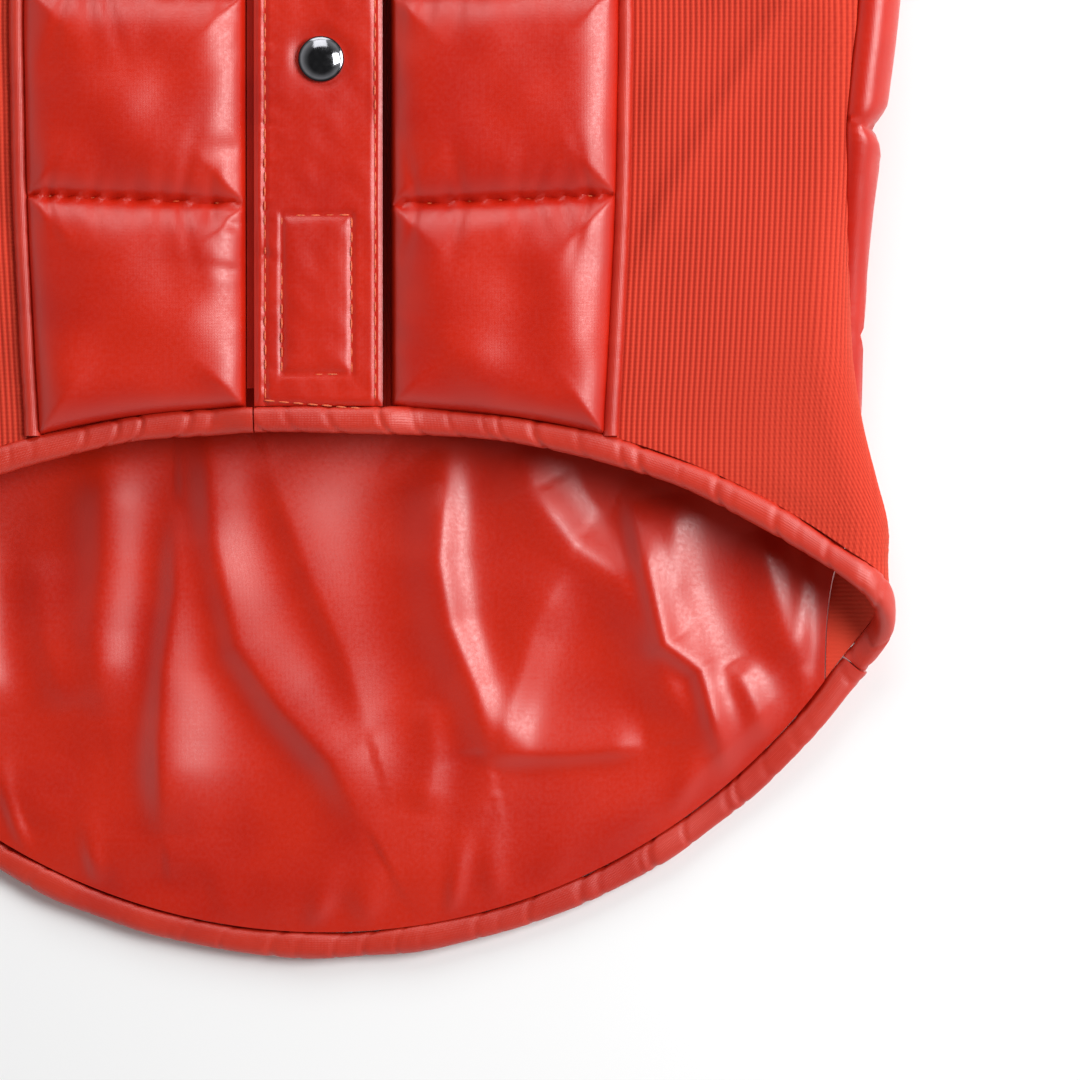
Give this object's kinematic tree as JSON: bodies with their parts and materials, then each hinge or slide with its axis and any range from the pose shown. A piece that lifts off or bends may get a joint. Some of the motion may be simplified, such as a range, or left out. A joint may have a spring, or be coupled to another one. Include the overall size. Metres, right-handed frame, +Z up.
{
  "type": "dog winter coat",
  "caption": "Quilted winter coat for a dog, laid flat belly side up, with a snapped placket, ribbed side panels, leg holes, a bound neck and a rounded tail flap.",
  "frame": {"origin": "middle of the footprint on the surface the coat lies on", "axes": "+X to the right of the placket seen from above, +Y from the tail towards the neck, +Z up from the back to the belly side"},
  "size_m": [0.3134, 0.4399, 0.0372],
  "materials": {
    "shell_nylon": "glossy wet-look nylon",
    "lining_satin": "glossy smooth satin",
    "rib_knit": "matte ribbed knit",
    "binding_nylon": "satin bound edge",
    "snap_steel": "polished dark steel"
  },
  "bodies": {
    "root": {"back_shell": "shell_nylon", "back_lining": "lining_satin", "belly_panel_right": "shell_nylon", "belly_panel_left": "shell_nylon", "rib_side_right": "rib_knit", "rib_side_left": "rib_knit", "placket": "shell_nylon", "placket_under": "shell_nylon", "placket_piping": "shell_nylon", "side_piping_right": "binding_nylon", "side_piping_left": "binding_nylon", "belly_hem_binding_right": "binding_nylon", "belly_hem_binding_left": "binding_nylon", "tail_hem_binding": "binding_nylon", "neck_binding": "binding_nylon", "leg_binding_right": "binding_nylon", "leg_binding_left": "binding_nylon", "snap_cap_1": "snap_steel", "snap_cap_2": "snap_steel", "snap_cap_3": "snap_steel"}
  },
  "joints": []
}
